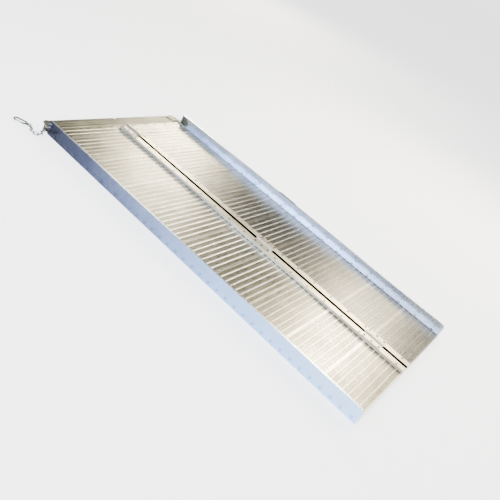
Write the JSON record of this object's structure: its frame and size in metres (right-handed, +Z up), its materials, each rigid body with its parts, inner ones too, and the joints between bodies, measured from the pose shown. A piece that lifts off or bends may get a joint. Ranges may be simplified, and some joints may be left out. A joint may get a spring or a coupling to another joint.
{
  "type": "folding loading ramp",
  "caption": "Aluminium loading ramp of two ribbed plank decks with raised side rails, hinged to fold lengthwise, with a bent top lip and a safety chain with snap hook.",
  "frame": {"origin": "on the ground, on the fold line between the two panels, at the ramp's bottom end", "axes": "+Y up the ramp towards the lip, +X to the right panel, +Z up out of the deck, with the ramp open and lying flat"},
  "size_m": [0.8796, 1.6546, 0.06],
  "materials": {
    "plank_aluminium": "mill finish, brushed by wear along the rib tops",
    "rail_aluminium": "mill finish extrusion",
    "beam_aluminium": "mill finish extrusion",
    "rivet_aluminium": "dull",
    "screw_zinc": "zinc plated",
    "lip_aluminium": "scuffed mill finish",
    "bracket_aluminium": "mill finish",
    "bolt_zinc": "zinc plated",
    "pad_rubber": "matt",
    "hinge_bolt_steel": "dull, with a trace of rust",
    "hinge_steel": "yellow zinc plated",
    "handle_plastic": "moulded",
    "anchor_paint": "black paint",
    "chain_steel": "zinc plated, dull"
  },
  "bodies": {
    "left_panel": {"left_rail": "rail_aluminium", "left_beam": "beam_aluminium", "left_plank_1": "plank_aluminium", "left_plank_2": "plank_aluminium", "left_plank_3": "plank_aluminium", "left_plank_4": "plank_aluminium", "left_plank_5": "plank_aluminium", "left_plank_6": "plank_aluminium", "left_plank_7": "plank_aluminium", "left_plank_8": "plank_aluminium", "left_plank_9": "plank_aluminium", "left_plank_cut": "plank_aluminium", "left_rivets": "rivet_aluminium", "left_side_screws": "screw_zinc", "left_lip": "lip_aluminium", "left_corner_bracket": "bracket_aluminium", "left_bracket_bolts": "bolt_zinc", "left_end_pad": "pad_rubber", "bottom_hinge_left_leaf": "hinge_steel", "middle_hinge_left_leaf": "hinge_steel", "top_hinge_left_leaf": "hinge_steel", "hinge_pins": "hinge_steel", "left_hinge_bolts": "hinge_bolt_steel", "chain_anchor": "anchor_paint", "chain_eye_bolt": "chain_steel"},
    "right_panel": {"right_rail": "rail_aluminium", "right_beam": "beam_aluminium", "right_plank_1": "plank_aluminium", "right_plank_2": "plank_aluminium", "right_plank_3": "plank_aluminium", "right_plank_4": "plank_aluminium", "right_plank_5": "plank_aluminium", "right_plank_6": "plank_aluminium", "right_plank_7": "plank_aluminium", "right_plank_8": "plank_aluminium", "right_plank_9": "plank_aluminium", "right_plank_cut": "plank_aluminium", "right_rivets": "rivet_aluminium", "right_side_screws": "screw_zinc", "right_lip": "lip_aluminium", "right_corner_bracket": "bracket_aluminium", "right_bracket_bolts": "bolt_zinc", "right_end_pad": "pad_rubber", "bottom_hinge_right_leaf": "hinge_steel", "middle_hinge_right_leaf": "hinge_steel", "top_hinge_right_leaf": "hinge_steel", "right_hinge_bolts": "hinge_bolt_steel", "carry_handle": "handle_plastic"},
    "link_1": {"chain_link_1": "chain_steel"},
    "link_2": {"chain_link_2": "chain_steel"},
    "link_3": {"chain_link_3": "chain_steel"},
    "link_4": {"chain_link_4": "chain_steel"},
    "link_5": {"chain_link_5": "chain_steel"},
    "link_6": {"chain_link_6": "chain_steel"},
    "link_7": {"chain_link_7": "chain_steel"},
    "swivel": {"hook_swivel": "chain_steel"},
    "hook": {"hook_body": "chain_steel", "hook_gate_pin": "chain_steel"},
    "gate": {"hook_gate": "chain_steel"}
  },
  "joints": [
    {"name": "fold", "type": "hinge", "parent": "left_panel", "child": "right_panel", "pos_m": [0, 0.77, 0.0375], "axis": [0, -1, 0], "range_deg": [0, 172]},
    {"name": "chain_bend_1", "type": "hinge", "parent": "left_panel", "child": "link_1", "pos_m": [-0.3868, 1.558, 0.00528], "axis": [0, 0, 1], "range_deg": [-8, 8]},
    {"name": "chain_bend_2", "type": "hinge", "parent": "link_1", "child": "link_2", "pos_m": [-0.39972, 1.5479, 0.00528], "axis": [0, 0, 1], "range_deg": [-8, 8]},
    {"name": "chain_bend_3", "type": "hinge", "parent": "link_2", "child": "link_3", "pos_m": [-0.40982, 1.53498, 0.00528], "axis": [0, 0, 1], "range_deg": [-8, 8]},
    {"name": "chain_bend_4", "type": "hinge", "parent": "link_3", "child": "link_4", "pos_m": [-0.42618, 1.53384, 0.00528], "axis": [0, 0, 1], "range_deg": [-8, 8]},
    {"name": "chain_bend_5", "type": "hinge", "parent": "link_4", "child": "link_5", "pos_m": [-0.43757, 1.54563, 0.00528], "axis": [0, 0, 1], "range_deg": [-8, 8]},
    {"name": "chain_bend_6", "type": "hinge", "parent": "link_5", "child": "link_6", "pos_m": [-0.43586, 1.56194, 0.00528], "axis": [0, 0, 1], "range_deg": [-8, 8]},
    {"name": "chain_bend_7", "type": "hinge", "parent": "link_6", "child": "link_7", "pos_m": [-0.42816, 1.57642, 0.00528], "axis": [0, 0, 1], "range_deg": [-8, 8]},
    {"name": "chain_bend_8", "type": "hinge", "parent": "link_7", "child": "swivel", "pos_m": [-0.42149, 1.59141, 0.0066], "axis": [0, 0, 1], "range_deg": [-8, 8]},
    {"name": "hook_swivel_turn", "type": "hinge", "parent": "swivel", "child": "hook", "pos_m": [-0.42656, 1.60094, 0.0066], "axis": [-0.4695, 0.8829, 0], "range_deg": [-90, 90]},
    {"name": "gate_press", "type": "hinge", "parent": "hook", "child": "gate", "pos_m": [-0.44374, 1.61196, 0.0066], "axis": [0, 0, -1], "range_deg": [0, 24], "stiffness_Nm_per_rad": 0.05, "springref_deg": -34.38}
  ]
}
